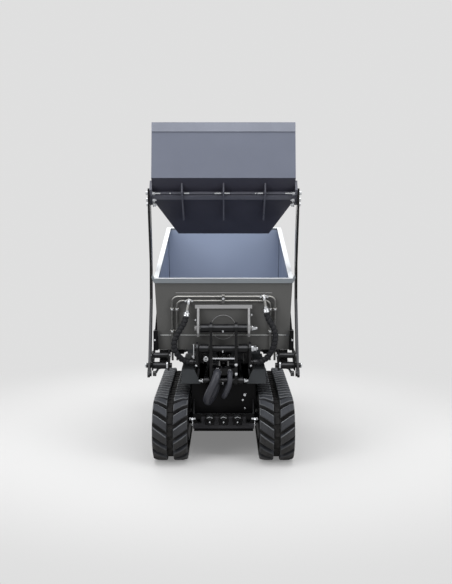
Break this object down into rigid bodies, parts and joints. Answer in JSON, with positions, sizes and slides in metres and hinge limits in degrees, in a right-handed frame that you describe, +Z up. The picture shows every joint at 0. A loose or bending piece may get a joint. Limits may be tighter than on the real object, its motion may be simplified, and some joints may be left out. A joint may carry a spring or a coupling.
{
  "type": "tracked site dumper with self-loading shovel",
  "caption": "Small rubber-tracked site dumper: high-lift tipping skip, raised self-loading shovel on side arms, hydraulic cylinders, rear engine and controls.",
  "frame": {"origin": "on the ground, under the middle of the machine's box", "axes": "+X to the viewer's right when looking at the machine's front, +Y to its rear, +Z up"},
  "size_m": [0.868, 1.8706, 1.89],
  "materials": {
    "skip_paint": "satin dark grey paint",
    "shovel_paint": "satin bluish grey paint",
    "rim_paint": "pale grey rim, worn bright along its edges",
    "frame_black": "satin black powder coat",
    "cover_grey": "satin mid grey paint",
    "arm_black": "black paint, worn at the edges",
    "track_rubber": "moulded black rubber, dusty on the lugs",
    "wheel_steel": "painted cast wheels",
    "barrel_black": "gloss black cylinder paint",
    "rod_chrome": "polished chrome",
    "pipe_steel": "grey painted steel pipe",
    "zinc": "zinc plated steel",
    "hose_rubber": "black spiral guard over hoses",
    "edge_steel": "bluish grey paint over hardened plate",
    "engine_iron": "cast alloy",
    "black_plastic": "textured black plastic",
    "knob_plastic": "moulded knobs"
  },
  "bodies": {
    "root": {"chassis_frame": "frame_black", "front_bulkhead": "frame_black", "hose_couplings": "frame_black", "side_covers": "cover_grey", "track_left": "track_rubber", "track_right": "track_rubber", "track_frame_left": "frame_black", "track_frame_right": "frame_black", "idlers": "wheel_steel", "sprockets": "wheel_steel", "track_rollers": "wheel_steel", "engine_block": "engine_iron", "engine_housing": "cover_grey", "console": "black_plastic", "control_levers": "knob_plastic", "handlebar": "frame_black", "fuel_tank": "black_plastic", "hydraulic_tank": "black_plastic", "rear_bumper": "frame_black", "muffler": "wheel_steel"},
    "hood": {"hood": "skip_paint"},
    "platform": {"platform": "frame_black"},
    "lift_arm": {"lift_arm": "arm_black"},
    "level_link": {"level_link": "arm_black"},
    "lift_barrel": {"lift_barrel": "barrel_black"},
    "lift_rod": {"lift_rod": "rod_chrome"},
    "carriage": {"carriage": "arm_black", "hose_block": "arm_black", "tip_hose_left": "hose_rubber", "tip_hose_right": "hose_rubber"},
    "tip_barrel": {"tip_barrel": "barrel_black"},
    "tip_rod": {"tip_rod": "rod_chrome"},
    "skip": {"skip_tub": "skip_paint", "skip_rim": "rim_paint", "skip_underframe": "frame_black", "skip_bracket": "skip_paint", "arm_guides": "frame_black", "hydraulic_pipes": "pipe_steel", "arm_brackets": "arm_black", "wrapped_hose_left": "hose_rubber", "wrapped_hose_right": "hose_rubber"},
    "dip_barrels": {"dip_barrels": "barrel_black"},
    "dip_rods": {"dip_rods": "rod_chrome"},
    "shovel": {"shovel_arm_left": "arm_black", "shovel_arm_right": "arm_black", "shovel_shell": "shovel_paint", "cutting_edge": "edge_steel", "shovel_frame": "frame_black"}
  },
  "joints": [
    {"name": "lift", "type": "hinge", "parent": "root", "child": "lift_arm", "pos_m": [0, 0.28427, 0.547], "axis": [-1, 0, 0], "range_deg": [0, 45]},
    {"name": "level_link_turn", "type": "hinge", "parent": "root", "child": "level_link", "pos_m": [0, 0.28427, 0.365], "axis": [-1, 0, 0], "range_deg": [0, 45]},
    {"name": "carriage_turn", "type": "hinge", "parent": "lift_arm", "child": "carriage", "pos_m": [0, -0.77173, 0.637], "axis": [-1, 0, 0], "range_deg": [-45, 0]},
    {"name": "tip", "type": "hinge", "parent": "carriage", "child": "skip", "pos_m": [0, -0.77173, 0.752], "axis": [1, 0, 0], "range_deg": [0, 60], "deforming": ["wrapped_hose_left", "wrapped_hose_right"]},
    {"name": "shovel_dip", "type": "hinge", "parent": "skip", "child": "shovel", "pos_m": [0, -0.76573, 0.541], "axis": [-1, 0, 0], "range_deg": [-113, 0]},
    {"name": "lift_barrel_turn", "type": "hinge", "parent": "root", "child": "lift_barrel", "pos_m": [0, -0.39573, 0.225], "axis": [1, 0, 0], "range_deg": [0, 13]},
    {"name": "lift_rod_slide", "type": "slide", "parent": "lift_barrel", "child": "lift_rod", "axis": [0, 0.7719, 0.6357], "range_m": [0, 0.2322]},
    {"name": "tip_barrel_turn", "type": "hinge", "parent": "carriage", "child": "tip_barrel", "pos_m": [0, -0.71573, 0.567], "axis": [1, 0, 0], "range_deg": [0, 56.41]},
    {"name": "tip_rod_slide", "type": "slide", "parent": "tip_barrel", "child": "tip_rod", "axis": [0, 0.9983, -0.0575], "range_m": [0, 0.192]},
    {"name": "dip_barrel_turn", "type": "hinge", "parent": "skip", "child": "dip_barrels", "pos_m": [0, -0.17573, 0.47], "axis": [1, 0, 0], "range_deg": [0, 2.91]},
    {"name": "dip_rod_slide", "type": "slide", "parent": "dip_barrels", "child": "dip_rods", "axis": [0, -0.9982, 0.0592], "range_m": [-0.1484, 0]},
    {"name": "hood_lid", "type": "hinge", "parent": "root", "child": "hood", "pos_m": [0, 0.66427, 0.912], "axis": [-1, 0, 0], "range_deg": [0, 60]},
    {"name": "platform_fold", "type": "hinge", "parent": "root", "child": "platform", "pos_m": [0, 0.69227, 0.19], "axis": [1, 0, 0], "range_deg": [0, 85]}
  ],
  "couplings": [
    {"joint": "level_link_turn", "follows": "lift", "ratio": 1},
    {"joint": "carriage_turn", "follows": "lift", "ratio": -1},
    {"joint": "lift_barrel_turn", "follows": "lift", "ratio": 0.28782},
    {"joint": "lift_rod_slide", "follows": "lift", "m_per_rad": 0.29501},
    {"joint": "tip_barrel_turn", "follows": "tip", "ratio": 0.93939},
    {"joint": "tip_rod_slide", "follows": "tip", "m_per_rad": 0.18285},
    {"joint": "dip_barrel_turn", "follows": "shovel_dip", "ratio": -0.025338},
    {"joint": "dip_rod_slide", "follows": "shovel_dip", "m_per_rad": 0.074996}
  ]
}
